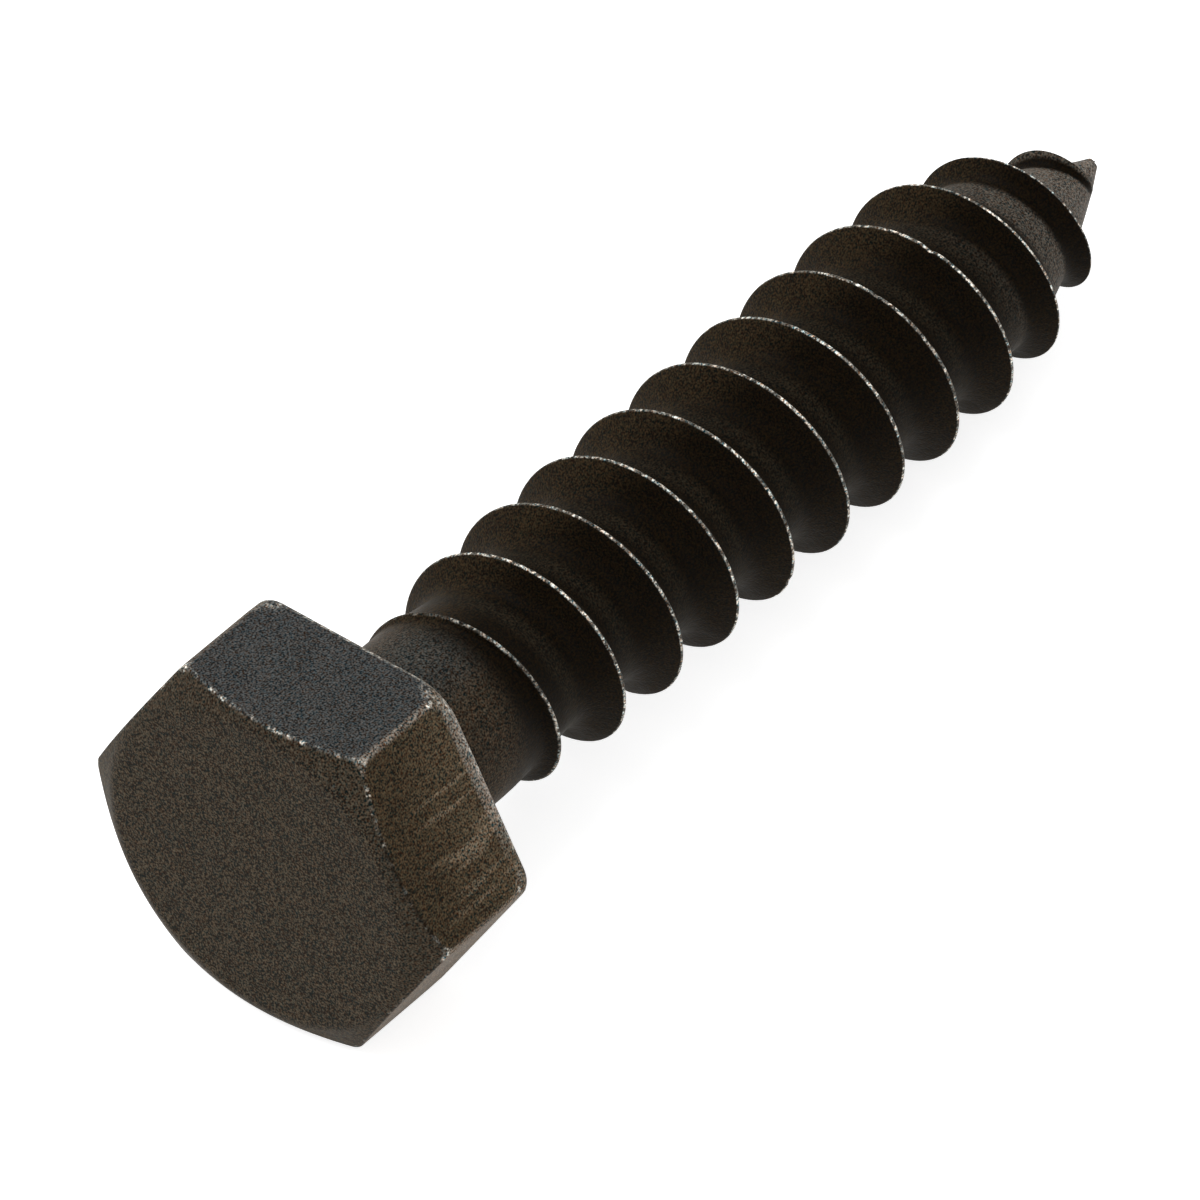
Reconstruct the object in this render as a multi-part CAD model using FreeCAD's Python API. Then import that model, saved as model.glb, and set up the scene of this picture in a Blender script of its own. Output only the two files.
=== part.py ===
"""Hex lag screw, 5/16 inch by 1-1/2 inch, lying at rest on its head and its thread.

One forged and rolled steel piece. It is modelled along +X with the bearing face of the head at
x = 0, then laid down: +X runs along the screw from the head to the point, +Z is up, and the
origin is on the surface it lies on, under the middle of its box. Millimetres and degrees.
"""

import FreeCAD, Part
import math
import os

from FreeCAD import Vector

# Head
ACROSS_FLATS = 12.2
HEAD_HEIGHT = 5.05
CHAMFER_CIRCLE_D = 11.64  # flat circle that the chamfer leaves on the end face
CHAMFER_ANGLE = 31.5  # between the chamfer and the end face
BEARING_EDGE_R = 0.35  # rounding between the flats and the bearing face
CORNER_EDGE_R = 0.2  # rounding of the six edges between the flats

# Shank
LENGTH = 38.0  # from the bearing face to the tip
SHANK_D = 6.43
NECK_FLARE = 0.35  # conical flare under the head, as wide as it is long

# Thread, right-handed
MAJOR_D = 7.93
ROOT_D = 5.72
PITCH = 2.85
CREST_PHASE = 2.05  # where a crest passes the upper flat's middle line, modulo the pitch
CREST_FLAT = 0.13
# Slant widths of the faces from a crest down to the root, and their angles from the plane
# square to the axis: the flank, then two narrow faces that curve into the root
FORM_FACES = ((0.50, 30.0), (0.45, 42.0), (0.60, 55.0))

# Run-out towards the head
GROOVE_START = 3.8  # from the bearing face to where the root begins to sink
GROOVE_LENGTH = 4.4
CREST_START = 4.12  # from the bearing face to where the crest leaves the shank
CREST_RISE_LENGTH = 5.8

# Gimlet point
ROOT_TAPER_LENGTH = 6.7  # straight cone of the root
CREST_TAPER_LENGTH = 10.7  # eased fall of the crests
CREST_TAPER_POWER = 2.5  # how late they fall: 1 would be a straight cone
NOSE_R = 0.25
THREAD_END_GAP = 0.55  # from the tip back to the end of the thread
THREAD_FADE = 0.8  # length over which the thread dies out there

# How the thread is laid into the core, which hides its base
SINK = 0.06  # foot of the form, under the root
START_SINK = 0.4  # extra depth of the foot where the thread begins
END_CREST = 0.85  # radius of the crest where the thread ends, as a share of the core's
END_FOOT = 0.6  # the same for the foot
BASE_DEPTH = 0.2  # base of the ridge, under its foot
BURIED_LEAD = 0.56  # length of ridge that lies inside the shank before the crest comes out
SAMPLES_PER_TURN = 16

SHANK_R = SHANK_D / 2
CREST_R = MAJOR_D / 2
ROOT_R = ROOT_D / 2
FORM_HEIGHT = CREST_R - ROOT_R + SINK
GROOVE_END = GROOVE_START + GROOVE_LENGTH
ROOT_TAPER_START = LENGTH - ROOT_TAPER_LENGTH
CREST_TAPER_START = LENGTH - CREST_TAPER_LENGTH
ORIGIN = Vector(0, 0, 0)
X_AXIS = Vector(1, 0, 0)
Y_AXIS = Vector(0, 1, 0)


def share(x, start, length):
    """How far x has come along a stretch, from 0 at its start to 1 at its end."""
    return min(max((x - start) / length, 0.0), 1.0)


def smooth(t):
    """Smooth step from 0 to 1."""
    return t * t * (3.0 - 2.0 * t)


def cone_angle():
    """Half angle, in radians, of the root's cone, which runs at a tangent into the round nose."""
    run = ROOT_TAPER_LENGTH - NOSE_R
    return math.atan2(ROOT_R, run) - math.asin(NOSE_R / math.hypot(run, ROOT_R))


def core_radius(x):
    """Radius of the core at x: plain shank, sinking root, root, cone."""
    sunk = (SHANK_R - ROOT_R) * share(x, GROOVE_START, GROOVE_LENGTH)
    return SHANK_R - sunk - max(x - ROOT_TAPER_START, 0.0) * math.tan(cone_angle())


def near_end(x):
    """How far the thread has died out into the cone's tip at x, from 0 to 1."""
    return smooth(share(x, LENGTH - THREAD_END_GAP - THREAD_FADE, THREAD_FADE))


def crest_radius(x):
    """Radius of the crests at x: eased rise from the shank, full height, eased fall to the tip."""
    left = 1.0 - min((x - CREST_START) / CREST_RISE_LENGTH, 1.0)
    risen = (CREST_R - SHANK_R) * (1.0 - left**2)
    late = (max(x - CREST_TAPER_START, 0.0) / CREST_TAPER_LENGTH) ** CREST_TAPER_POWER
    radius = SHANK_R + risen - (CREST_R - NOSE_R) * late
    return radius + (END_CREST * core_radius(x) - radius) * near_end(x)


def foot_radius(x):
    """Radius at which the thread's form ends, just inside the core and deeper at both ends."""
    start = 1.0 - smooth(share(x, CREST_START, PITCH))
    core = core_radius(x)
    return core - SINK - START_SINK * start - (1.0 - END_FOOT) * core * near_end(x)


def polyline(points):
    """Straight edges from each point to the next."""
    return [Part.makeLine(a, b) for a, b in zip(points, points[1:])]


def turned(edges):
    """Solid of a closed outline in the XY plane, turned about the X axis."""
    return Part.Face(Part.Wire(edges)).revolve(ORIGIN, X_AXIS, 360)


def make_head():
    """Hexagonal prism with rounded edges, chamfered on its end face."""
    corner_r = ACROSS_FLATS / math.sqrt(3)
    corners = []
    for i in range(7):
        turn = math.radians(60 * i)
        corners.append(Vector(-HEAD_HEIGHT, corner_r * math.cos(turn), corner_r * math.sin(turn)))
    prism = Part.Face(Part.makePolygon(corners)).extrude(X_AXIS * HEAD_HEIGHT)
    between_flats = [e for e in prism.Edges if e.BoundBox.XLength > HEAD_HEIGHT / 2]
    prism = prism.makeFillet(CORNER_EDGE_R, between_flats)
    on_bearing_face = [e for e in prism.Edges if e.BoundBox.XMin > -HEAD_HEIGHT / 2]
    prism = prism.makeFillet(BEARING_EDGE_R, on_bearing_face)

    circle_r = CHAMFER_CIRCLE_D / 2
    rim_r = corner_r + 1.0
    rim_x = (rim_r - circle_r) * math.tan(math.radians(CHAMFER_ANGLE)) - HEAD_HEIGHT
    outline = [
        Vector(-HEAD_HEIGHT, 0, 0),
        Vector(-HEAD_HEIGHT, circle_r, 0),
        Vector(rim_x, rim_r, 0),
        Vector(1, rim_r, 0),
        Vector(1, 0, 0),
        Vector(-HEAD_HEIGHT, 0, 0),
    ]
    return prism.common(turned(polyline(outline)))


def make_core():
    """Shank, root and cone as one turned solid that starts inside the head."""
    inside = -HEAD_HEIGHT / 2
    turn = math.pi / 2 - cone_angle()
    nose = Vector(LENGTH - NOSE_R, 0, 0)
    nose_start = nose + Vector(math.cos(turn), math.sin(turn), 0) * NOSE_R
    nose_middle = nose + Vector(math.cos(turn / 2), math.sin(turn / 2), 0) * NOSE_R
    tip = Vector(LENGTH, 0, 0)
    side = [
        Vector(inside, 0, 0),
        Vector(inside, SHANK_R + NECK_FLARE, 0),
        Vector(0, SHANK_R + NECK_FLARE, 0),
        Vector(NECK_FLARE, SHANK_R, 0),
        Vector(GROOVE_START, SHANK_R, 0),
        Vector(GROOVE_END, ROOT_R, 0),
        Vector(ROOT_TAPER_START, ROOT_R, 0),
        nose_start,
    ]
    edges = polyline(side)
    edges += [Part.Arc(nose_start, nose_middle, tip).toShape()]
    edges += polyline([tip, side[0]])
    return turned(edges)


def form_points():
    """Half of the thread's section, from the crest down: offsets along the axis and height shares."""
    offset = CREST_FLAT / 2
    depth = 0.0
    points = [(offset, depth)]
    for width, angle in FORM_FACES:
        offset += width * math.sin(math.radians(angle))
        depth += width * math.cos(math.radians(angle))
        points.append((offset, depth))
    return [(across, 1.0 - down / depth) for across, down in points]


def rail(side, offset, height, buried=False):
    """Helix that one corner of the thread's section follows, in pieces of one turn each.

    The section keeps its form and shrinks with the height that the thread has there. A buried
    rail is a corner of the ridge's base, inside the core.
    """
    first_turn = (CREST_START - BURIED_LEAD - CREST_PHASE) / PITCH
    last_turn = (LENGTH - THREAD_END_GAP - CREST_PHASE) / PITCH
    count = math.ceil((last_turn - first_turn) * SAMPLES_PER_TURN)
    points = []
    for i in range(count + 1):
        turn = first_turn + (last_turn - first_turn) * i / count
        middle = CREST_PHASE + turn * PITCH
        scale = min((crest_radius(middle) - foot_radius(middle)) / FORM_HEIGHT, 1.0)
        x = middle + side * offset * scale
        radius = foot_radius(x) + height * (crest_radius(x) - foot_radius(x))
        if buried:
            radius -= BASE_DEPTH * scale
        angle = math.tau * turn
        points.append(Vector(x, -radius * math.sin(angle), radius * math.cos(angle)))
    helix = Part.BSplineCurve()
    helix.interpolate(Points=points, Parameters=[float(i) for i in range(count + 1)])
    pieces = []
    for start in range(0, count, SAMPLES_PER_TURN):
        piece = helix.copy()
        piece.segment(float(start), float(min(start + SAMPLES_PER_TURN, count)))
        pieces.append(piece)
    return pieces


def ruled_face(left, right):
    """Face of the straight lines between two helices that share their knots."""
    poles = [[left.getPole(i + 1), right.getPole(i + 1)] for i in range(left.NbPoles)]
    surface = Part.BSplineSurface()
    surface.buildFromPolesMultsKnots(
        poles, left.getMultiplicities(), [2, 2], left.getKnots(), [0.0, 1.0], False, False, 3, 1
    )
    return surface.toShape()


def make_thread():
    """Helical ridge from its run-out by the head to the point, with its base inside the core."""
    section = form_points()
    rails = [rail(-1, offset, height) for offset, height in reversed(section)]
    rails += [rail(1, offset, height) for offset, height in section]
    rails += [rail(side, *section[-1], buried=True) for side in (1, -1)]
    faces = []
    for left, right in zip(rails, rails[1:] + rails[:1]):
        faces += [ruled_face(a, b) for a, b in zip(left, right)]
    starts = [pieces[0].StartPoint for pieces in rails]
    ends = [pieces[-1].EndPoint for pieces in rails]
    for corners in (starts, ends):
        faces.append(Part.Face(Part.makePolygon(corners + corners[:1])))
    shell = Part.Shell(faces)
    shell.sewShape()
    ridge = Part.Solid(shell)
    if ridge.Volume < 0:
        ridge.reverse()
    return ridge


def rest_slope():
    """Slope, in radians, at which the screw lies on the lower edge of its head and on a crest.

    That edge is an arc. The floor touches it and the one crest, of those that pass the
    underside, that gives the least slope.
    """
    arc_x = -BEARING_EDGE_R
    arc_z = BEARING_EDGE_R - ACROSS_FLATS / 2
    slopes = []
    turns = int((LENGTH - THREAD_END_GAP - CREST_PHASE) / PITCH - 0.5)
    for turn in range(turns + 1):
        x = CREST_PHASE + (turn + 0.5) * PITCH
        if x > CREST_START:
            run = x - arc_x
            rise = -crest_radius(x) - arc_z
            slopes.append(math.atan2(rise, run) + math.asin(BEARING_EDGE_R / math.hypot(run, rise)))
    return min(slopes)


def lie_down(screw):
    """Turn the screw to its resting slope and put the origin under the middle of its box."""
    screw.rotate(ORIGIN, Y_AXIS, math.degrees(rest_slope()))
    box = screw.optimalBoundingBox(False, False)
    screw.translate(Vector(-box.Center.x, -box.Center.y, -box.ZMin))
    return screw


os.makedirs("parts", exist_ok=True)
blank = make_head().fuse([make_core(), make_thread()])
lag_screw = lie_down(blank.Solids[0])
lag_screw.exportStep("parts/lag_screw.step")
print("solids", len(blank.Solids), "valid", lag_screw.isValid(), "mm3", round(lag_screw.Volume, 1))
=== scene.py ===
"""Hex head lag screw in dark oxide, lying on a pale floor as it comes to rest.

The screw is modelled in millimetres in its own frame: +X runs along its axis from the head to the
point, the bearing face of the head is at x = 0, and +Z is the normal of the uppermost flat. The
finished mesh is then laid down in the row frame, in metres.
"""

import logging
import math
from collections.abc import Callable, Iterator
from contextlib import contextmanager
from dataclasses import dataclass, field
from enum import Enum

import bpy
import numpy as np
from mathutils import Matrix, Vector, noise

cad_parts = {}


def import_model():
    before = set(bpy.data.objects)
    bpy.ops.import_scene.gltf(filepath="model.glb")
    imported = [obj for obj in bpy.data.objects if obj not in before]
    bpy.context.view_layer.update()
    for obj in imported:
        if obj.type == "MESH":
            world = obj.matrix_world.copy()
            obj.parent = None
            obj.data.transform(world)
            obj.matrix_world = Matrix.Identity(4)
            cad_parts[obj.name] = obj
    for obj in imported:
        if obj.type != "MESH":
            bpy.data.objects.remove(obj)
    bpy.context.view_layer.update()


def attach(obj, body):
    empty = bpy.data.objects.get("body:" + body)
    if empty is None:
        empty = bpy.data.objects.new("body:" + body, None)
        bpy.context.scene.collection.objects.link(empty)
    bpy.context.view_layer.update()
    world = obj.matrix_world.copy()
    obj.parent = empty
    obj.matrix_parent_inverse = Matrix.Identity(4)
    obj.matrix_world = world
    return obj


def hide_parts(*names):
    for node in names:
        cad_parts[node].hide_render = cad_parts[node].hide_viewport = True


log = logging.getLogger("lag_screw")

MM = 0.001
# Slack within which a point counts as on a plane, in millimetres
TOUCH = 1e-3
# Turn from one corner of a hexagon to the next
SIXTH = math.pi / 3
CAD_NODE = "lag_screw"
CREST_ATTRIBUTE = "from_crest"
WHITE = (1.0, 1.0, 1.0, 1.0)

Triple = tuple[float, float, float]
Colour = Triple
# Where a ramp is 0 and where it is 1. The second may be the smaller.
Stretch = tuple[float, float]
Socket = bpy.types.NodeSocket


class Flat(Enum):
    """Side flats of the head by the angle of their normal from the uppermost one, in degrees."""

    UPPER = 0
    RIGHT = 60
    LEFT = -60


# Small tools


def select_only(piece: bpy.types.Object) -> None:
    """Make one object the only selected and active one.

    Args:
        piece: The object.
    """
    bpy.ops.object.select_all(action="DESELECT")
    piece.select_set(True)
    bpy.context.view_layer.objects.active = piece


@contextmanager
def editing(piece: bpy.types.Object) -> Iterator[None]:
    """Edit mode on one piece, with all of it selected.

    Args:
        piece: The object to edit.

    Returns:
        The block's context.
    """
    select_only(piece)
    bpy.ops.object.mode_set(mode="EDIT")
    bpy.ops.mesh.select_all(action="SELECT")
    yield
    bpy.ops.object.mode_set(mode="OBJECT")


def apply_modifier(piece: bpy.types.Object, kind: str, **values: object) -> None:
    """Add a modifier to a piece, set it and apply it.

    Args:
        piece: The object that gets it.
        kind: Blender's name of the modifier's type.
        **values: Its settings.
    """
    modifier = piece.modifiers.new(kind.lower(), kind)
    for name, value in values.items():
        setattr(modifier, name, value)
    select_only(piece)
    bpy.ops.object.modifier_apply(modifier=modifier.name)


def discard(piece: bpy.types.Object) -> None:
    """Remove a tool object and its mesh.

    Args:
        piece: The object.
    """
    mesh = piece.data
    bpy.data.objects.remove(piece)
    bpy.data.meshes.remove(mesh)


def read_points(mesh: bpy.types.Mesh) -> np.ndarray:
    """Points of a mesh.

    Args:
        mesh: The mesh to read.

    Returns:
        An array of rows x, y, z.
    """
    points = np.zeros(len(mesh.vertices) * 3)
    mesh.vertices.foreach_get("co", points)
    return points.reshape(-1, 3)


def share(x: np.ndarray, start: float, length: float) -> np.ndarray:
    """How far x has come along a stretch, from 0 at its start to 1 at its end."""
    return np.clip((x - start) / length, 0.0, 1.0)


def smooth(t: np.ndarray) -> np.ndarray:
    """Smooth step from 0 to 1."""
    return t * t * (3.0 - 2.0 * t)


# The screw


@dataclass(frozen=True)
class Resting:
    """How the screw lies on the lower edge of its head and one crest of its thread."""

    slope: float = math.radians(4.23109)
    bearing_centre: Triple = (-16.21574, 0.0, 6.05919)

    def turn(self) -> Matrix:
        """Turn of the screw's own frame in the row frame."""
        return Matrix.Rotation(self.slope, 4, "Y")

    def matrix(self) -> Matrix:
        """Matrix from the screw's own frame, in millimetres, to the row frame, in metres."""
        return Matrix.Scale(MM, 4) @ Matrix.Translation(self.bearing_centre) @ self.turn()


@dataclass
class HexHead:
    """Forged hexagonal head with a turned chamfer on its end face. Sizes are in millimetres."""

    across_flats: float = 12.2
    height: float = 5.05
    chamfer_circle: float = 11.64
    chamfer_angle: float = 31.5
    circle_width: float = 0.22
    worn_width: float = 0.07
    bearing_radius: float = 0.4
    # The corner between the uppermost flat and the right one is sharper, but knocked at its end
    corner_radius: float = 0.42
    sharp_radius: float = 0.2
    open_radius: float = 0.9
    knocked_radius: float = 1.9
    open_reach: float = 1.05
    # What the bar is longer than the head, and the cutter than what it cuts
    spare: float = 0.5
    cutter_spare: float = 1.0
    cutter_sides: int = 192
    round_steps: int = 5
    circle_steps: int = 3

    def build(self) -> bpy.types.Object:
        """Model the head in the screw's own frame.

        Returns:
            The head's object, closed and chamfered, with its edges worn round.
        """
        head = self._prism()
        corner_width = self.corner_radius * math.tan(SIXTH / 2)
        self._bevel(head, corner_width, self.round_steps, self._corner_weight)
        self._open_corners(head)
        self._bevel(head, self.bearing_radius, self.round_steps, self._bearing_weight)
        self._chamfer(head)
        self._bevel(head, self.circle_width, self.circle_steps, self._end_weight)
        return head

    def _prism(self) -> bpy.types.Object:
        """Hexagonal bar, a little longer than the head at the end that the chamfer cuts.

        Returns:
            The bar's object.
        """
        length = self.height + self.spare
        bpy.ops.object.select_all(action="DESELECT")
        bpy.ops.mesh.primitive_cylinder_add(
            vertices=6,
            radius=self._tip(),
            depth=length,
            location=(-length / 2, 0, 0),
            rotation=(0, math.pi / 2, 0),
        )
        bpy.ops.object.transform_apply(location=True, rotation=True, scale=True)
        return bpy.context.active_object

    def _tip(self) -> float:
        """Distance of the hexagon's sharp corners from the axis."""
        return self.across_flats / math.sqrt(3)

    def _bevel(
        self, head: bpy.types.Object, width: float, steps: int,
        weigh: Callable[[Vector, Vector], float],
    ) -> None:
        """Round the edges that a rule picks.

        Args:
            head: The head's object.
            width: Width of a bevel of full weight.
            steps: Number of its faces.
            weigh: Rule that gives an edge's weight from its two ends.
        """
        mesh = head.data
        weight = mesh.attributes.get("bevel_weight_edge")
        if weight is None:
            weight = mesh.attributes.new("bevel_weight_edge", "FLOAT", "EDGE")
        for edge in mesh.edges:
            first, second = (mesh.vertices[i].co for i in edge.vertices)
            weight.data[edge.index].value = weigh(first, second)
        apply_modifier(
            head, "BEVEL", width=width, segments=steps, limit_method="WEIGHT",
            use_clamp_overlap=False,
        )

    def _corner_weight(self, first: Vector, second: Vector) -> float:
        """Weight of the corners between the flats.

        Args:
            first: One end of an edge.
            second: Its other end.

        Returns:
            Full weight on the corners, less on the sharper one, and none on other edges.
        """
        if abs(first.x - second.x) < self.height / 2:
            return 0.0
        return self._corner_size(first) / self.corner_radius

    def _is_sharp(self, point: Vector) -> bool:
        """Whether a point is at the corner between the uppermost flat and the right one."""
        reach = point.z * math.cos(SIXTH / 2) - point.y * math.sin(SIXTH / 2)
        return reach > self.across_flats / 2

    def _corner_size(self, point: Vector) -> float:
        """Radius of the corner that a point is at."""
        return self.sharp_radius if self._is_sharp(point) else self.corner_radius

    def _open_corners(self, head: bpy.types.Object) -> None:
        """Round the corners more and more towards the bearing face.

        Args:
            head: The head's object, with its corners already rounded.
        """
        with editing(head):
            bpy.ops.mesh.bisect(plane_co=(-self.open_reach, 0, 0), plane_no=(1, 0, 0))
        for vertex in head.data.vertices:
            place = vertex.co
            if place.x < -TOUCH:
                continue
            turn = (round(math.atan2(-place.y, place.z) / SIXTH - 0.5) + 0.5) * SIXTH
            corner = Vector((0.0, -math.sin(turn), math.cos(turn)))
            small = self._corner_size(place)
            large = self.knocked_radius if self._is_sharp(place) else self.open_radius
            middle = corner * (self._tip() - small / math.cos(SIXTH / 2))
            moved = corner * (self._tip() - large / math.cos(SIXTH / 2))
            vertex.co = moved + (place - middle) * (large / small)
        head.data.update()

    def _bearing_weight(self, first: Vector, second: Vector) -> float:
        """Full weight round the bearing face."""
        return float(min(first.x, second.x) > -TOUCH)

    def _end_weight(self, first: Vector, second: Vector) -> float:
        """Weight of the chamfer's edges.

        Args:
            first: One end of an edge.
            second: Its other end.

        Returns:
            Full weight on the chamfer's circle, a little on its arcs, and none on other edges.
        """
        slope = math.tan(math.radians(self.chamfer_angle))
        depths = [end.x + self.height for end in (first, second)]
        rims = [math.hypot(end.y, end.z) - self.chamfer_circle / 2 for end in (first, second)]
        if max(map(abs, depths)) < TOUCH:
            return 1.0
        on_chamfer = all(abs(r * slope - d) < TOUCH for r, d in zip(rims, depths))
        on_arc = on_chamfer and min(depths) > TOUCH
        return self.worn_width / self.circle_width if on_arc else 0.0

    def _chamfer(self, head: bpy.types.Object) -> None:
        """Cut the chamfer and the end face with a cone, as the forging die does.

        Args:
            head: The head's object.
        """
        depth = self.height + self.cutter_spare
        small = self.chamfer_circle / 2
        bpy.ops.mesh.primitive_cone_add(
            vertices=self.cutter_sides,
            radius1=small,
            radius2=small + depth / math.tan(math.radians(self.chamfer_angle)),
            depth=depth,
            location=(self.cutter_spare - depth / 2, 0, 0),
            rotation=(0, math.pi / 2, 0),
        )
        cutter = bpy.context.active_object
        bpy.ops.object.transform_apply(location=True, rotation=True, scale=True)
        apply_modifier(head, "BOOLEAN", operation="INTERSECT", solver="EXACT", object=cutter)
        discard(cutter)


@dataclass
class ThreadedShank:
    """Shank, rolled wood thread and gimlet point, starting inside the head, in millimetres."""

    length: float = 37.99
    shank_d: float = 6.43
    major_d: float = 7.92
    root_d: float = 5.72
    pitch: float = 2.85
    crest_phase: float = 2.05
    neck_radius: float = 0.22
    inside_head: float = 2.4
    groove_start: float = 3.8
    groove_length: float = 4.4
    crest_start: float = 3.9
    crest_rise: float = 5.8
    root_taper: float = 6.7
    root_taper_power: float = 1.3
    # Radius that the root's taper would come down to at the end
    root_left: float = 0.09
    crest_taper: float = 10.7
    crest_taper_power: float = 2.5
    cone_start: float = 35.7
    cone_slope: float = 0.48
    nose_radius: float = 0.25
    fade_start: float = 35.9
    fade_length: float = 1.25
    tip_lean: float = 0.12
    tip_lean_start: float = 36.2
    tip_lean_angle: float = math.radians(56)
    least_section: float = 0.3
    steps: int = 128
    # Distances under which points are one: where turns meet, and where the thread has faded
    meeting: float = 1e-4
    faded: float = 2e-3
    # The crest is a little uneven, and knocked at some places: turn, depth and length along it
    crest_wander: float = 0.035
    wander_rate: float = 9.0
    nick_steepness: float = 4.0
    nicks: tuple[Triple, ...] = (
        (9.038, 0.10, 0.35), (8.04, 0.05, 0.2), (8.13, 0.06, 0.22), (5.31, 0.05, 0.3),
        (10.62, 0.08, 0.4), (3.45, 0.07, 0.3), (6.74, 0.09, 0.45), (2.2, 0.04, 0.25),
    )
    # Columns of the rolled profile: distance from the crest along the axis, and the share of the
    # thread's height there
    form: tuple[tuple[float, float], ...] = (
        (0.0, 1.0), (0.04, 0.992), (0.075, 0.965), (0.13, 0.885), (0.24, 0.704), (0.36, 0.51),
        (0.47, 0.355), (0.6, 0.215), (0.75, 0.105), (0.92, 0.035), (1.12, 0.0), (1.27, 0.0),
        (1.425, 0.0),
    )

    def build(self) -> bpy.types.Object:
        """Model the shank with its thread in the screw's own frame.

        Returns:
            A closed object that runs from inside the head to the point.
        """
        shank = self._profile()
        turns = math.ceil((self.length + self.inside_head) / self.pitch) + 3
        apply_modifier(
            shank, "SCREW", axis="X", angle=math.tau, screw_offset=self.pitch, iterations=turns,
            steps=self.steps, render_steps=self.steps, use_smooth_shade=True,
        )
        with editing(shank):
            bpy.ops.mesh.remove_doubles(threshold=self.meeting)
        self._roll(shank.data)
        with editing(shank):
            bpy.ops.mesh.remove_doubles(threshold=self.faded)
            bpy.ops.mesh.bisect(
                plane_co=(-self.inside_head, 0, 0), plane_no=(1, 0, 0), use_fill=True,
                clear_inner=True,
            )
            bpy.ops.mesh.select_all(action="SELECT")
            bpy.ops.mesh.normals_make_consistent(inside=False)
        return shank

    def _profile(self) -> bpy.types.Object:
        """Line of one pitch along the blank, drawn point by point by extruding.

        Returns:
            The line's object.
        """
        offsets = sorted({side * across for across, _ in self.form for side in (-1, 1)})
        first_turn = math.floor((-self.inside_head - self.crest_phase) / self.pitch) - 1
        start = self.crest_phase + first_turn * self.pitch + offsets[0]
        bpy.ops.object.select_all(action="DESELECT")
        bpy.ops.mesh.primitive_plane_add(size=1)
        profile = bpy.context.active_object
        with editing(profile):
            bpy.ops.mesh.merge(type="CENTER")
            bpy.ops.transform.translate(value=(start, 0, self.major_d / 2))
            for here, there in zip(offsets, offsets[1:]):
                bpy.ops.mesh.extrude_region_move(
                    TRANSFORM_OT_translate={"value": (there - here, 0, 0)}
                )
        return profile

    def _on_thread(self, points: np.ndarray) -> tuple[np.ndarray, np.ndarray]:
        """Find points on the helix.

        Args:
            points: Rows of x, y, z.

        Returns:
            The turn of the crest nearest to each point, and the point's distance past that crest
            along the axis.
        """
        x, y, z = points.T
        around = np.arctan2(-y, z) / math.tau
        turn = np.round((x - self.crest_phase) / self.pitch - around) + around
        return turn, x - self.crest_phase - turn * self.pitch

    def _roll(self, mesh: bpy.types.Mesh) -> None:
        """Press the thread into the turned blank and draw out its point, by moving its vertices.

        Args:
            mesh: The blank's mesh.
        """
        turn, offset = self._on_thread(read_points(mesh))
        middle = self.crest_phase + turn * self.pitch
        across = np.abs(offset)
        columns, heights = np.array(self.form).T
        scale = self._section(middle)
        foot = columns[np.argmin(heights)]
        beyond = (across - foot) / (columns[-1] - foot)
        scaled = np.where(
            across <= foot, across * scale, foot * scale + beyond * (columns[-1] - foot * scale)
        )
        x = np.minimum(middle + np.sign(offset) * scaled, self.length)
        core, crest = self._core(x), self._crest(x) - self._knocks(turn)
        radius = core + np.maximum(crest - core, 0.0) * np.interp(across, columns, heights)
        angle = math.tau * turn
        lean = self.tip_lean * share(x, self.tip_lean_start, self.length - self.tip_lean_start) ** 2
        moved = np.stack(
            [
                x,
                lean * math.sin(self.tip_lean_angle) - radius * np.sin(angle),
                lean * math.cos(self.tip_lean_angle) + radius * np.cos(angle),
            ],
            axis=1,
        )
        mesh.vertices.foreach_set("co", moved.ravel())
        mesh.update()

    def _knocks(self, turn: np.ndarray) -> np.ndarray:
        """How far the crest is worn or knocked down.

        Args:
            turn: Turns of the helix.

        Returns:
            The depth at each turn, in millimetres.
        """
        around = math.pi * self.major_d
        worn = np.zeros_like(turn)
        for place, depth, length in self.nicks:
            worn += depth * np.exp(-(((turn - place) * around / length) ** 2) * self.nick_steepness)
        places, back = np.unique(turn, return_inverse=True)
        line = [noise.noise(Vector((t * self.wander_rate, 0.5, 0.5))) for t in places]
        return worn + self.crest_wander * (0.5 + 0.5 * np.array(line)[back])

    def _core(self, x: np.ndarray) -> np.ndarray:
        """Radius of the core: neck, plain shank, sinking root, root, cone and nose.

        Args:
            x: Places along the axis.

        Returns:
            The radius at each place.
        """
        shank, root, nose = self.shank_d / 2, self.root_d / 2, self.nose_radius
        flare = np.clip(1 - x / self.neck_radius, 0.0, 1.0)
        core = shank + self.neck_radius * (1 - np.sqrt(1 - flare**2))
        core = core - (shank - root) * smooth(share(x, self.groove_start, self.groove_length))
        taper_start = self.length - self.root_taper
        fall = share(np.minimum(x, self.cone_start), taper_start, self.root_taper)
        core = core - (root - self.root_left) * fall**self.root_taper_power
        core = core - self.cone_slope * np.maximum(x - self.cone_start, 0.0)
        ball_middle = self.length - nose
        ball = np.sqrt(np.maximum(nose**2 - (x - ball_middle) ** 2, 0.0))
        meet = ball_middle + nose * math.sin(math.atan(self.cone_slope))
        return np.where(x > meet, ball, core)

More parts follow.
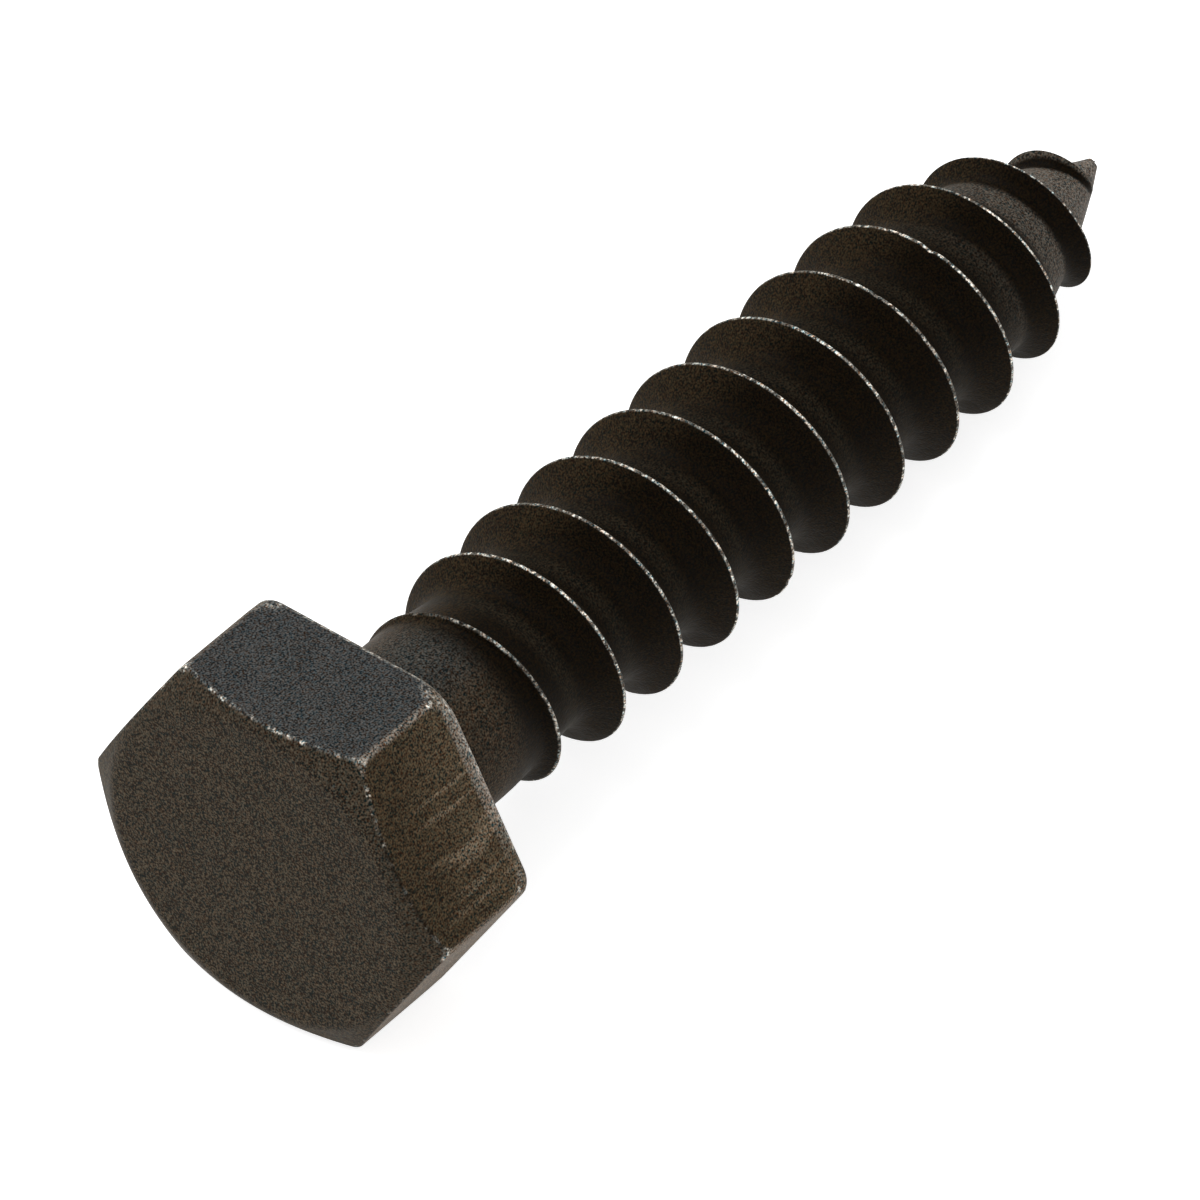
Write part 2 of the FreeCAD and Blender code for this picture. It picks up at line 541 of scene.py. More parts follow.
    def _crest(self, x: np.ndarray) -> np.ndarray:
        """Radius of the crests: eased rise from the shank, full height, eased fall to the tip.

        Args:
            x: Places along the axis.

        Returns:
            The radius at each place.
        """
        left = 1 - np.minimum((x - self.crest_start) / self.crest_rise, 1.0)
        crest = (self.major_d - (self.major_d - self.shank_d) * left**2) / 2
        taper_start = self.length - self.crest_taper
        fall = share(x, taper_start, self.crest_taper) ** self.crest_taper_power
        crest = crest - (self.major_d / 2 - self.nose_radius) * fall
        return crest + (self._core(x) - crest) * smooth(share(x, self.fade_start, self.fade_length))

    def _section(self, middle: np.ndarray) -> np.ndarray:
        """Size of the thread's section, as a share of the full one."""
        height = self._crest(middle) - self._core(middle)
        return np.clip(height * 2 / (self.major_d - self.root_d), self.least_section, 1.0)

    def from_crest(self, points: np.ndarray) -> np.ndarray:
        """Distance of points from the nearest crest.

        Args:
            points: Rows of x, y, z.

        Returns:
            The distance of each along the axis, as it would be on the full thread.
        """
        x = points[:, 0]
        _, offset = self._on_thread(points)
        section = np.where(x < self.length / 2, 1.0, self._section(x - offset))
        distance = np.abs(offset) / section
        return np.where(x < self.crest_start - self.pitch / 2, self.pitch, distance)


# Finish


class Graph:
    """Node tree of a material or of the world, with short calls for its nodes."""

    def __init__(self, owner: bpy.types.Material | bpy.types.World) -> None:
        """Start with an empty tree.

        Args:
            owner: The material or the world that has the tree.
        """
        owner.use_nodes = True
        self.tree = owner.node_tree
        self.tree.nodes.clear()

    def node(self, kind: str, inputs: dict | None = None, **settings: object) -> bpy.types.Node:
        """Add a node.

        Args:
            kind: Its type without the ShaderNode in front.
            inputs: Values or sockets for its inputs, by name or place.
            **settings: Properties of the node.

        Returns:
            The new node.
        """
        made = self.tree.nodes.new("ShaderNode" + kind)
        for name, value in settings.items():
            setattr(made, name, value)
        for name, value in (inputs or {}).items():
            if isinstance(value, Socket):
                self.tree.links.new(value, made.inputs[name])
            else:
                made.inputs[name].default_value = value
        return made

    def calc(self, operation: str, *values: object, clamp: bool = False) -> Socket:
        """Work out a number with a Math node.

        Args:
            operation: Blender's name of the operation.
            *values: Up to three numbers or sockets.
            clamp: Whether to keep the result between 0 and 1.

        Returns:
            The result.
        """
        made = self.node("Math", dict(enumerate(values)), operation=operation, use_clamp=clamp)
        return made.outputs[0]

    def _fold(self, operation: str, values: tuple[object, ...]) -> Socket:
        """Take one operation over many values, from the first to the last.

        Args:
            operation: Blender's name of the operation.
            values: Numbers or sockets.

        Returns:
            The result.
        """
        result = values[0]
        for value in values[1:]:
            result = self.calc(operation, result, value)
        return result

    def total(self, *values: object) -> Socket:
        """Sum of numbers or sockets."""
        return self._fold("ADD", values)

    def minus(self, *values: object) -> Socket:
        """The first number or socket less all the others."""
        return self._fold("SUBTRACT", values)

    def product(self, *values: object) -> Socket:
        """Product of numbers or sockets."""
        return self._fold("MULTIPLY", values)

    def most(self, *values: object) -> Socket:
        """Largest of numbers or sockets."""
        return self._fold("MAXIMUM", values)

    def least(self, *values: object) -> Socket:
        """Smallest of numbers or sockets."""
        return self._fold("MINIMUM", values)

    def line(self, value: object, slope: object, start: object) -> Socket:
        """Straight line: start where the value is 0, and rising by the slope."""
        return self.calc("MULTIPLY_ADD", value, slope, start)

    def around(self, noise_value: Socket, strength: float) -> Socket:
        """Noise made to swing around 0, with a strength."""
        return self.line(noise_value, strength, -0.5 * strength)

    def ramp(self, value: object, stretch: Stretch) -> Socket:
        """Smooth step of a number.

        Args:
            value: The number.
            stretch: Where the step is 0 and where it is 1.

        Returns:
            The step.
        """
        zero, one = stretch
        ends = (zero, one, 0.0, 1.0) if zero < one else (one, zero, 1.0, 0.0)
        inputs = dict(enumerate((value, *ends)))
        return self.node("MapRange", inputs, interpolation_type="SMOOTHSTEP").outputs[0]

    def mix(self, factor: object, first: object, second: object) -> Socket:
        """Colour between two colours.

        Args:
            factor: 0 for the first, 1 for the second.
            first: A colour or a socket.
            second: A colour or a socket.

        Returns:
            The mixed colour.
        """
        inputs = {0: factor}
        for place, value in ((6, first), (7, second)):
            inputs[place] = value if isinstance(value, Socket) else (*value, 1.0)
        return self.node("Mix", inputs, data_type="RGBA", clamp_factor=True).outputs[2]

    def vector(self, operation: str, first: object, second: object) -> bpy.types.Node:
        """Vector Math node on two vectors or sockets."""
        return self.node("VectorMath", {0: first, 1: second}, operation=operation)

    def noise(
        self, place: object, size: float, detail: float = 2.0, roughness: float = 0.5
    ) -> Socket:
        """Noise.

        Args:
            place: Where it is read.
            size: About the size of its features, in the units of the place.
            detail: Number of its finer layers.
            roughness: Strength of each finer layer.

        Returns:
            The noise, about 0.5 on average.
        """
        made = self.node(
            "TexNoise",
            {"Vector": place, "Scale": 1.0 / size, "Detail": detail, "Roughness": roughness},
        )
        return made.outputs["Fac"]


class Spot:
    """Where a point of the screw is in the screw's own frame, in millimetres, as sockets."""

    def __init__(self, graph: Graph, resting: Resting) -> None:
        """Turn Object coordinates into the screw's own frame.

        Args:
            graph: The material's tree.
            resting: How the screw lies.
        """
        local = resting.matrix().inverted()
        self.graph = graph
        self.place = graph.node(
            "Mapping",
            {"Vector": graph.node("TexCoord").outputs["Object"], "Location": local.translation,
             "Rotation": local.to_euler("XYZ"), "Scale": (1 / MM, 1 / MM, 1 / MM)},
        ).outputs[0]
        self.along, self.y, self.z = graph.node("SeparateXYZ", {0: self.place}).outputs
        self.crest = graph.node("Attribute", attribute_name=CREST_ATTRIBUTE).outputs["Fac"]


class HeadSpot:
    """Distances of a point of the head from its faces and edges, in millimetres, as sockets."""

    def __init__(self, spot: Spot, head: HexHead) -> None:
        """Measure the distances.

        Args:
            spot: Where the point is.
            head: The head's sizes.
        """
        graph = spot.graph
        self.spot = spot
        self.flats: dict[Flat, Socket] = {}
        for flat in Flat:
            turn = math.radians(flat.value)
            across = graph.product(spot.y, -math.sin(turn))
            self.flats[flat] = graph.line(spot.z, math.cos(turn), across)
        reach = [graph.calc("ABSOLUTE", value) for value in self.flats.values()]
        most = graph.most(*reach)
        second = graph.minus(graph.total(*reach), most, graph.least(*reach))
        half = head.across_flats / 2
        slant = math.radians(head.chamfer_angle)
        squares = graph.line(spot.y, spot.y, graph.product(spot.z, spot.z))

        from_flat = graph.calc("ABSOLUTE", graph.minus(half, most))
        self.rim = graph.minus(graph.calc("SQRT", squares), head.chamfer_circle / 2)
        self.from_end = graph.total(spot.along, head.height)
        self.inside_chamfer = graph.minus(
            graph.product(self.from_end, math.cos(slant)), graph.product(self.rim, math.sin(slant))
        )
        from_chamfer = graph.calc("ABSOLUTE", self.inside_chamfer)
        from_bearing = graph.calc("ABSOLUTE", spot.along)
        self.arc = graph.total(from_chamfer, from_flat)
        self.bearing = graph.total(from_bearing, from_flat)
        self.corner = graph.total(graph.minus(half, second), from_flat)
        self.corner_at_bearing = graph.total(self.corner, from_bearing)
        self.corner_at_chamfer = graph.total(self.corner, from_chamfer)


@dataclass(frozen=True)
class Rub:
    """Wear of an edge: how far it reaches, its strength, and what a second value adds to that."""

    reach: Stretch
    strength: float
    more: float = 0.0

    def on(self, graph: Graph, distance: Socket, second: object = 0.0) -> Socket:
        """How worn a point is.

        Args:
            graph: The material's tree.
            distance: Its distance from the edge.
            second: A value from 0 to 1.

        Returns:
            The wear, 0 away from the edge.
        """
        strength = graph.line(second, self.more, self.strength)
        return graph.product(graph.ramp(distance, self.reach), strength)


@dataclass(frozen=True)
class HeadFinish:
    """Colours and wear of the head. Places and sizes are in millimetres."""

    head: HexHead
    end_colour: Colour = (0.0300, 0.0232, 0.0155)
    chamfer_colour: Colour = (0.0335, 0.0265, 0.0185)
    # Painted reflection: the uppermost flat greyer, as the light above shows in it
    upper_reflection_colour: Colour = (0.0395, 0.0400, 0.0390)
    side_colour: Colour = (0.041, 0.0285, 0.0155)
    side_low_colour: Colour = (0.082, 0.060, 0.036)
    streak_colour: Colour = (0.15, 0.115, 0.078)
    rubbed_colour: Colour = (0.165, 0.13, 0.10)
    # Painted highlight on the rounded edge next to the bearing face
    bearing_highlight_colour: Colour = (0.30, 0.265, 0.23)
    # Painted shade: a dark line along the chamfer's arcs, stronger lower down
    arc_shade_colour: Colour = (0.0040, 0.0022, 0.0006)

    # Height over which the wear grows towards the top and the painted shade along the arcs fades,
    # and breaks in the wear
    upper: Stretch = (2.8, 5.8)
    blotch_size: float = 0.3
    blotches: Stretch = (0.46, 0.62)
    blotch_least: float = 0.15
    patch_size: float = 1.1
    patches: Stretch = (0.35, 0.62)
    # Bright wear of the edges
    arc: Rub = Rub((0.10, 0.03), 0.12, 0.34)
    corner: Rub = Rub((0.13, 0.03), 0.02, 0.14)
    bearing: Rub = Rub((0.33, 0.25), 0.2, 0.3)
    corner_at_bearing: Rub = Rub((1.3, 0.9), 0.2)
    corner_at_chamfer: Rub = Rub((0.45, 0.12), 0.75)
    # Bright knocks: place and size
    knocks: tuple[tuple[Triple, float], ...] = (
        ((-0.95, -3.5, 6.03), 0.17), ((-0.65, -6.9, 0.1), 0.19), ((-4.82, -2.95, 5.15), 0.16),
    )
    knock_core: float = 0.4
    # Which of the faces a point is on
    past_chamfer: Stretch = (-0.01, 0.03)
    past_end: Stretch = (0.06, 0.13)
    on_upper_reflection: Stretch = (-0.12, -0.03)
    on_lower_left: Stretch = (-0.15, -0.03)
    on_bearing: Stretch = (-0.08, -0.01)
    on_chamfer: Stretch = (-0.05, 0.12)
    # Sides: lighter towards the bearing face, with streaks along them and a painted highlight in a
    # band on the rounded edge next to the bearing face
    low: Stretch = (-3.8, -0.8)
    low_share: float = 0.6
    streak_squeeze: Triple = (0.09, 1.0, 1.0)
    streak_size: float = 0.27
    streak_roughness: float = 0.6
    streaks: Stretch = (0.52, 0.66)
    streak_along: Stretch = (-4.2, -1.6)
    streak_height: Stretch = (5.2, 3.2)
    streak_share: float = 0.7
    lower_left_share: float = 0.7
    band_along: Stretch = (-0.74, -0.60)
    band_top: Stretch = (6.05, 5.6)
    band_foot: Stretch = (0.3, 3.2)
    band_fall: Stretch = (-0.5, -0.2)
    band_fall_share: float = 0.5
    band_share: float = 0.35
    dull_corner: Rub = Rub((0.19, 0.06), 0.0, 0.6)
    # Painted shade along the chamfer's arcs, stronger lower down
    arc_shade: Rub = Rub((0.10, 0.03), 0.75, -0.6)

    def build(self, spot: Spot) -> tuple[Socket, Socket]:
        """Colour and wear of the head.

        Args:
            spot: Where the point is.

        Returns:
            The colour and the wear.
        """
        near = HeadSpot(spot, self.head)
        upper = spot.graph.ramp(spot.z, self.upper)
        return self._colour(near, upper), self._wear(near, upper)

    def _wear(self, near: HeadSpot, upper: Socket) -> Socket:
        """How bright the edges, the corners' ends and the knocks are worn.

        Args:
            near: How far the point is from the head's edges.
            upper: How near the top it is.

        Returns:
            The wear.
        """
        graph, place = near.spot.graph, near.spot.place
        blotch = graph.ramp(graph.noise(place, self.blotch_size, 1.0), self.blotches)
        patch = graph.ramp(graph.noise(place, self.patch_size, 1.0), self.patches)
        sparse = graph.line(blotch, 1.0 - self.blotch_least, self.blotch_least)
        wear = graph.most(
            graph.product(self.arc.on(graph, near.arc, upper), sparse),
            self.corner.on(graph, near.corner, upper),
            self.bearing.on(graph, near.bearing, patch),
            self.corner_at_bearing.on(graph, near.corner_at_bearing),
            self.corner_at_chamfer.on(graph, near.corner_at_chamfer),
        )
        for knock, size in self.knocks:
            far = graph.vector("DISTANCE", place, knock).outputs["Value"]
            wear = graph.most(wear, graph.ramp(far, (size, self.knock_core * size)))
        return wear

    def _colour(self, near: HeadSpot, upper: Socket) -> Socket:
        """Colours of the end face, the chamfer and the sides, with painted light on the sides and
        along the arcs.

        Args:
            near: How far the point is from the head's edges.
            upper: How near the top it is.

        Returns:
            The colour.
        """
        spot, graph = near.spot, near.spot.graph
        low = graph.product(graph.ramp(spot.along, self.low), self.low_share)
        side = graph.mix(low, self.side_colour, self.side_low_colour)
        streak = graph.product(self._streak(spot), self.streak_share)
        side = graph.mix(streak, side, self.streak_colour)
        # Painted reflection of the light above on the uppermost flat
        on_upper_reflection = self._on_flat(graph, near.flats[Flat.UPPER], self.on_upper_reflection)
        side = graph.mix(on_upper_reflection, side, self.upper_reflection_colour)
        lower_left = graph.product(near.flats[Flat.LEFT], -1.0)
        lower_left = self._on_flat(graph, lower_left, self.on_lower_left)
        lower_left = graph.product(lower_left, self.lower_left_share)
        side = graph.mix(lower_left, side, self.rubbed_colour)
        # Painted highlight in a band on the rounded edge next to the bearing face
        side = graph.mix(self._bearing_highlight(spot), side, self.bearing_highlight_colour)
        side = graph.mix(self.dull_corner.on(graph, near.corner, upper), side, self.rubbed_colour)
        on_bearing = graph.ramp(spot.along, self.on_bearing)
        side = graph.mix(on_bearing, side, self.chamfer_colour)

        end = graph.mix(
            graph.ramp(near.rim, self.on_chamfer), self.end_colour, self.chamfer_colour
        )
        on_side = graph.product(
            graph.ramp(near.inside_chamfer, self.past_chamfer),
            graph.ramp(near.from_end, self.past_end),
        )
        colour = graph.mix(on_side, end, side)
        # Painted shade along the chamfer's arcs, stronger lower down
        return graph.mix(self.arc_shade.on(graph, near.arc, upper), colour, self.arc_shade_colour)

    def _on_flat(self, graph: Graph, reach: Socket, stretch: Stretch) -> Socket:
        """Whether a point is on a flat, from how far it reaches along the flat's normal.

        Args:
            graph: The material's tree.
            reach: How far the point reaches.
            stretch: Where the flat's colour starts and is full, from the flat itself.

        Returns:
            1 on the flat.
        """
        half = self.head.across_flats / 2
        return graph.ramp(reach, (half + stretch[0], half + stretch[1]))

    def _streak(self, spot: Spot) -> Socket:
        """Rubbed streaks along the sides.

        Args:
            spot: Where the point is.

        Returns:
            1 in a streak.
        """
        graph = spot.graph
        squeezed = graph.vector("MULTIPLY", spot.place, self.streak_squeeze).outputs[0]
        streak = graph.noise(squeezed, self.streak_size, 1.0, self.streak_roughness)
        return graph.product(
            graph.ramp(streak, self.streaks),
            graph.ramp(spot.along, self.streak_along),
            graph.ramp(spot.z, self.streak_height),
        )

    def _bearing_highlight(self, spot: Spot) -> Socket:
        """Painted highlight of the rounded edge, in a band down the side next to the bearing face.

        Args:
            spot: Where the point is.

        Returns:
            The band's strength.
        """
        graph = spot.graph
        fall = graph.ramp(spot.along, self.band_fall)
        return graph.product(
            graph.ramp(spot.along, self.band_along),
            graph.ramp(spot.z, self.band_top),
            graph.ramp(spot.z, self.band_foot),
            graph.line(fall, self.band_fall_share, self.band_share),
        )


@dataclass(frozen=True)
class ThreadFinish:
    """Colours and wear of the shank, the thread and the point. Places are in millimetres."""

    shank_colour: Colour = (0.039, 0.0285, 0.0185)
    # Painted reflection: the top of the shank greyer, as the light above shows in it
    shank_top_reflection_colour: Colour = (0.036, 0.035, 0.031)
    flank_colour: Colour = (0.0040, 0.0022, 0.0006)
    lit_flank_colour: Colour = (0.0185, 0.0122, 0.0058)
    root_colour: Colour = (0.0105, 0.0078, 0.0045)
    bare_root_colour: Colour = (0.100, 0.086, 0.071)
    ridge_colour: Colour = (0.055, 0.046, 0.036)
    point_colour: Colour = (0.125, 0.108, 0.090)

    # Along the screw
    thread_start: Stretch = (3.2, 4.8)
    bare_root: Stretch = (28.5, 35.5)
    ridge_start: Stretch = (34.7, 35.6)
    point_start: Stretch = (36.6, 37.2)
    # Away from the crest
    root: Stretch = (0.85, 1.35)
    ridge: Stretch = (0.42, 0.2)
    # Round the screw: the shank's top has a painted reflection of the light above, and the flanks
    # have painted light, lighter on one side and a little on the other
    shank_top_reflection: Stretch = (2.5, 3.3)
    lit_side: Triple = (0.0, 0.831, 0.557)
    lit_near: Stretch = (1.2, 3.4)
    lit_far: Stretch = (-1.8, -3.4)
    lit_far_share: float = 0.28
    # Bright worn line of the crest, with a painted highlight that makes it stronger on one side
    line: Stretch = (0.075, 0.03)
    line_start: Stretch = (3.9, 6.6)
    line_end: Stretch = (35.3, 33.0)
    crest_highlight_side: Triple = (0.0, -0.98, 0.19)
    crest_highlight_round: Stretch = (-3.0, 3.0)
    crest_highlight_least: float = 0.45

    def build(self, spot: Spot) -> tuple[Socket, Socket]:
        """Colour and wear of the shank and the thread."""
        return self._colour(spot), self._wear(spot)

    def _colour(self, spot: Spot) -> Socket:
        """Colours of the shank, the flanks, the root and the point.

        Args:
            spot: Where the point is.

        Returns:
            The colour.
        """
        graph = spot.graph
        side = graph.vector("DOT_PRODUCT", spot.place, self.lit_side).outputs["Value"]
        lit = graph.line(
            graph.ramp(side, self.lit_far), self.lit_far_share, graph.ramp(side, self.lit_near)
        )
        flank = graph.mix(lit, self.flank_colour, self.lit_flank_colour)
        bare = graph.ramp(spot.along, self.bare_root)
        root = graph.mix(bare, self.root_colour, self.bare_root_colour)
        thread = graph.mix(graph.ramp(spot.crest, self.root), flank, root)
        # Painted reflection of the light above on the top of the shank
        top = graph.ramp(spot.z, self.shank_top_reflection)
        shank = graph.mix(top, self.shank_colour, self.shank_top_reflection_colour)
        colour = graph.mix(graph.ramp(spot.along, self.thread_start), shank, thread)
        ridge = graph.product(
            graph.ramp(spot.along, self.ridge_start), graph.ramp(spot.crest, self.ridge)
        )
        colour = graph.mix(ridge, colour, self.ridge_colour)
        return graph.mix(graph.ramp(spot.along, self.point_start), colour, self.point_colour)

    def _wear(self, spot: Spot) -> Socket:
        """How bright the crest is worn, with a painted highlight that is stronger on one side.

        Args:
            spot: Where the point is.

        Returns:
            The wear.
        """
        graph = spot.graph
        # Painted highlight: the worn crest line brighter on one side of the screw
        side = graph.vector("DOT_PRODUCT", spot.place, self.crest_highlight_side).outputs["Value"]
        side = graph.ramp(side, self.crest_highlight_round)
        return graph.product(
            graph.ramp(spot.crest, self.line),
            graph.line(side, 1.0 - self.crest_highlight_least, self.crest_highlight_least),
            graph.ramp(spot.along, self.line_start),
            graph.ramp(spot.along, self.line_end),
        )


@dataclass(frozen=True)
class DarkOxide:
    """Dark brown-black oxide on steel, worn bright on crests and edges. Sizes in millimetres."""

    head: HexHead
    resting: Resting
    worn_colour: Colour = (0.66, 0.63, 0.56)
    under_head: Stretch = (0.12, -0.02)

    # Grain of the oxide: sizes, and how strongly each changes the tone
    grain_size: float = 0.065
    grain_strength: float = 4.2
    end_start: Stretch = (-4.98, -5.04)
    end_grain_more: float = 0.6
    blotch_size: float = 0.2
    blotch_strength: float = 0.9
    mottle_size: float = 1.3
    mottle_roughness: float = 0.55
    mottle_strength: float = 0.5
    dot_size: float = 0.08
    dots: Stretch = (0.62, 0.72)
    dot_strength: float = -0.6
    middle_tone: float = 1.08
    least_tone: float = 0.2
    warm_size: float = 0.075
    warm_strength: float = 2.0
    warm_red: float = 0.45
    warm_blue: float = -0.25

    # The worn metal shows as beads, brighter in patches
    bead_size: float = 0.16
    beads: Stretch = (0.45, 0.60)
    bead_least: float = 0.17
    patch_size: float = 0.9
    patches: Stretch = (0.36, 0.62)
    patch_more: float = 0.95
    patch_least: float = 0.4

    # The bump's height is in metres
    bump_height: float = 0.00002
    bump_strength: float = 0.5
    bump_blotch: float = 1.5
    roughness: float = 0.55
    mottle_roughens: float = 0.3
    grain_roughens: float = 0.2
    specular: float = 0.03
    sheen: float = 0.05
    sheen_roughness: float = 0.45
    sheen_tint: Colour = (1.0, 0.88, 0.7)

    def material(self) -> bpy.types.Material:
        """Build the material.

        Returns:
            The material, on Object coordinates and the from_crest attribute.
        """
        material = bpy.data.materials.new("dark_oxide")
        graph = Graph(material)
        spot = Spot(graph, self.resting)
        grain = graph.noise(spot.place, self.grain_size, 0.0)
        blotch = graph.noise(spot.place, self.blotch_size, 1.0)
        mottle = graph.noise(spot.place, self.mottle_size, 3.0, self.mottle_roughness)

        head_colour, head_wear = HeadFinish(self.head).build(spot)
        thread_colour, thread_wear = ThreadFinish().build(spot)
        on_head = graph.ramp(spot.along, self.under_head)
        colour = graph.mix(on_head, thread_colour, head_colour)
        # The thread's wear carries the crest line's painted highlight on one side
        wear = graph.line(graph.minus(head_wear, thread_wear), on_head, thread_wear)
        colour = graph.mix(self._bright(spot, wear), colour, self.worn_colour)
        shade = self._shade(spot, grain, blotch, mottle)
        colour = graph.vector("MULTIPLY", colour, shade).outputs[0]

        height = graph.total(grain, graph.product(blotch, self.bump_blotch))
        bump = graph.node(
            "Bump",
            {"Strength": self.bump_strength, "Distance": self.bump_height, "Height": height},
        ).outputs[0]
        rough = graph.total(
            self.roughness,
            graph.around(mottle, self.mottle_roughens),
            graph.around(grain, self.grain_roughens),
        )
        shader = graph.node(
            "BsdfPrincipled",
            {"Base Color": colour, "Roughness": rough, "Metallic": 0.0,
             "Specular IOR Level": self.specular, "Sheen Weight": self.sheen,
             "Sheen Roughness": self.sheen_roughness, "Sheen Tint": (*self.sheen_tint, 1.0),
             "Normal": bump},
        )
        graph.node("OutputMaterial", {0: shader.outputs[0]})
        return material

    def _bright(self, spot: Spot, wear: Socket) -> Socket:
        """Break the wear up into beads of bare metal.

        Args:
            spot: Where the point is.
            wear: How worn it is.

        Returns:
            How bright the bare metal shows.
        """
        graph = spot.graph
        bead = graph.ramp(graph.noise(spot.place, self.bead_size, 1.0), self.beads)
        patch = graph.ramp(graph.noise(spot.place, self.patch_size, 1.0), self.patches)
        bead = graph.product(bead, graph.line(patch, self.patch_more, self.patch_least))
        return graph.calc("MULTIPLY", wear, graph.total(bead, self.bead_least), clamp=True)

    def _shade(self, spot: Spot, grain: Socket, blotch: Socket, mottle: Socket) -> Socket:
        """Tone of the grain, with a warmer and a colder cast here and there.

        Args:
            spot: Where the point is.
            grain: The finest noise.
            blotch: The coarser one.
            mottle: The coarsest one.

        Returns:
            What the colour is multiplied by.
        """
        graph = spot.graph
        on_end = graph.line(graph.ramp(spot.along, self.end_start), self.end_grain_more, 1.0)
        dots = graph.ramp(graph.noise(spot.place, self.dot_size, 0.0), self.dots)
        tone = graph.total(
            self.middle_tone,
            graph.product(graph.around(grain, self.grain_strength), on_end),
            graph.around(blotch, self.blotch_strength),
            graph.around(mottle, self.mottle_strength),
            graph.product(dots, self.dot_strength),
        )
        tone = graph.most(tone, self.least_tone)
        warm = graph.around(graph.noise(spot.place, self.warm_size, 0.0), self.warm_strength)
        shade = {
            0: graph.line(warm, self.warm_red, tone), 1: tone,
            2: graph.line(warm, self.warm_blue, tone),
        }
        return graph.node("CombineXYZ", shade).outputs[0]


# The whole


@dataclass
class LagScrew:
    """The screw: head and threaded shank as one piece of steel."""

    head: HexHead = field(default_factory=HexHead)
    shank: ThreadedShank = field(default_factory=ThreadedShank)
    resting: Resting = field(default_factory=Resting)
    smooth_angle: float = math.radians(40)

    def build(self) -> bpy.types.Object:
        """Model the screw, lay it down and dress it.

        Returns:
            The finished piece.
        """
        screw = self.head.build()
        shank = self.shank.build()
        apply_modifier(screw, "BOOLEAN", operation="UNION", solver="EXACT", object=shank)
        discard(shank)
        screw.name = screw.data.name = "oxide_lag_screw"
        mesh = screw.data
        distance = mesh.attributes.new(CREST_ATTRIBUTE, "FLOAT", "POINT")
        distance.data.foreach_set("value", self.shank.from_crest(read_points(mesh)))
        select_only(screw)
        bpy.ops.object.shade_smooth_by_angle(angle=self.smooth_angle)
        apply_modifier(screw, "WEIGHTED_NORMAL", keep_sharp=True)
        screw.matrix_world = self.resting.matrix()
        bpy.ops.object.transform_apply(location=True, rotation=True, scale=True)
        mesh.materials.clear()
        mesh.materials.append(DarkOxide(self.head, self.resting).material())
        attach(screw, "root")
        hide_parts(CAD_NODE)
        return screw


@dataclass(frozen=True)
class SoftLamp:
    """Square area lamp that faces the screw."""

    name: str
    place: Triple
    size: float
    power: float

    def build(self) -> None:
        """Hang the lamp."""
        light = bpy.data.lights.new(self.name, "AREA")
        light.size = self.size
        light.energy = self.power
        lamp = bpy.data.objects.new(self.name, light)
        lamp.location = self.place
        lamp.rotation_euler = (-Vector(self.place)).to_track_quat("-Z", "Y").to_euler()
        bpy.context.scene.collection.objects.link(lamp)


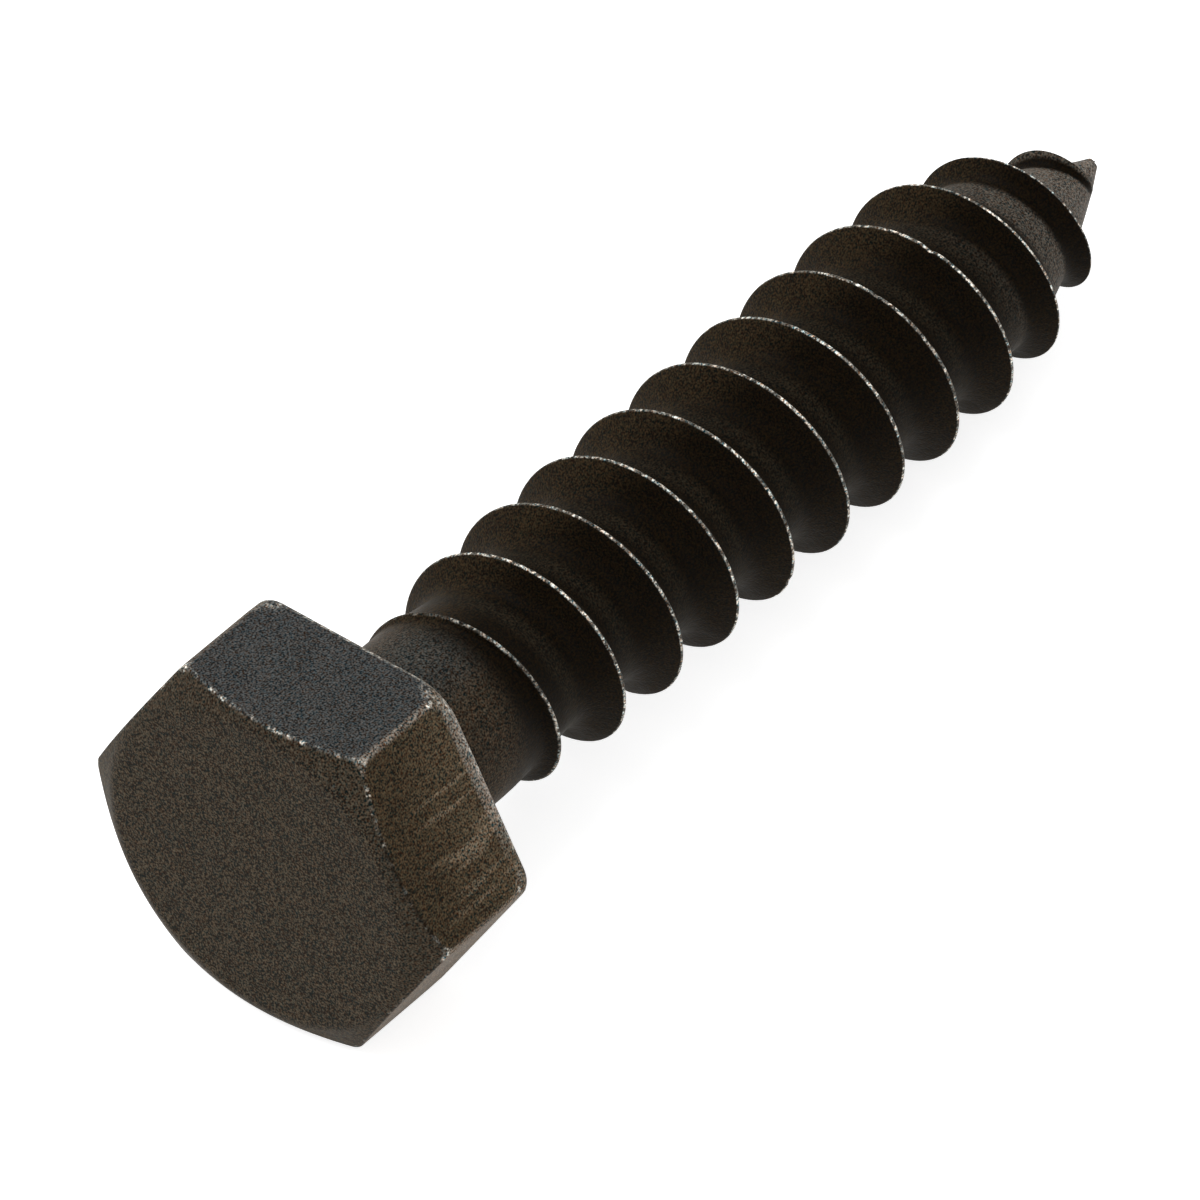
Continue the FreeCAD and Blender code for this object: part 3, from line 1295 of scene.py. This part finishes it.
@dataclass
class Studio:
    """Pale floor, soft light and the camera."""

    resting: Resting
    floor_size: float = 3.0
    floor_grey: float = 0.8
    floor_glow: float = 0.72
    soft_light: float = 0.55
    lamps: tuple[SoftLamp, ...] = (
        SoftLamp("key", (-0.15, 0.25, 0.6), 0.5, 3.0),
        SoftLamp("fill", (-0.5, -0.35, 0.25), 0.4, 0.8),
    )
    # The camera in the screw's own frame: its place, the way back from the screw, and its up
    camera_place: Triple = (-341.413, -272.011, 405.097)
    camera_back: Triple = (-0.586216, -0.451011, 0.673008)
    camera_up: Triple = (0.521392, 0.425793, 0.739494)
    sensor: float = 36.0
    lens: float = 573.487
    clip_start: float = 0.01

    def build(self) -> None:
        """Set up the floor, the light and the camera."""
        self._floor()
        self._world()
        for lamp in self.lamps:
            lamp.build()
        self._camera()
        bpy.context.scene.view_settings.view_transform = "Standard"

    def _floor(self) -> None:
        """Plain floor, white to the camera apart from the screw's soft shadow."""
        bpy.ops.object.select_all(action="DESELECT")
        bpy.ops.mesh.primitive_plane_add(size=self.floor_size)
        floor = bpy.context.active_object
        floor.name = "floor"
        material = bpy.data.materials.new("pale_floor")
        graph = Graph(material)
        grey = (self.floor_grey, self.floor_grey, self.floor_grey, 1.0)
        matte = graph.node("BsdfDiffuse", {0: grey}).outputs[0]
        glow = graph.node("Emission", {0: WHITE, 1: self.floor_glow}).outputs[0]
        seen = graph.node("AddShader", {0: matte, 1: glow}).outputs[0]
        mixed = graph.node("MixShader", {0: self._shows_white(graph), 1: matte, 2: seen})
        graph.node("OutputMaterial", {0: mixed.outputs[0]})
        floor.data.materials.append(material)

    def _world(self) -> None:
        """Even light from all round, behind a backdrop that is white to the camera."""
        world = bpy.data.worlds.new("studio")
        bpy.context.scene.world = world
        graph = Graph(world)
        soft = graph.node("Background", {0: WHITE, 1: self.soft_light}).outputs[0]
        white = graph.node("Background", {0: WHITE, 1: 1.0}).outputs[0]
        mixed = graph.node("MixShader", {0: self._shows_white(graph), 1: soft, 2: white})
        graph.node("OutputWorld", {0: mixed.outputs[0]})

    def _shows_white(self, graph: Graph) -> Socket:
        """1 for rays from the camera and for those that metal or glass sends on."""
        path = graph.node("LightPath").outputs
        return graph.most(*(path[f"Is {ray} Ray"] for ray in ("Camera", "Glossy", "Transmission")))

    def _camera(self) -> None:
        """Camera at the viewing angle of the photograph."""
        data = bpy.data.cameras.new("camera")
        data.sensor_width = self.sensor
        data.lens = self.lens
        data.clip_start = self.clip_start
        camera = bpy.data.objects.new("camera", data)
        back = Vector(self.camera_back).normalized()
        right = Vector(self.camera_up).cross(back).normalized()
        axes = Matrix((right, back.cross(right), back)).transposed().to_4x4()
        place = self.resting.matrix() @ Vector(self.camera_place)
        camera.matrix_world = Matrix.Translation(place) @ self.resting.turn() @ axes
        bpy.context.scene.collection.objects.link(camera)
        bpy.context.scene.camera = camera


def main() -> None:
    """Load the frame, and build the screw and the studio."""
    logging.basicConfig(level=logging.INFO, format="%(name)s: %(message)s")
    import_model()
    screw = LagScrew()
    piece = screw.build()
    triangles = sum(len(face.vertices) - 2 for face in piece.data.polygons)
    log.info("%s: %d triangles", piece.name, triangles)
    Studio(screw.resting).build()


if __name__ == "__main__":
    main()
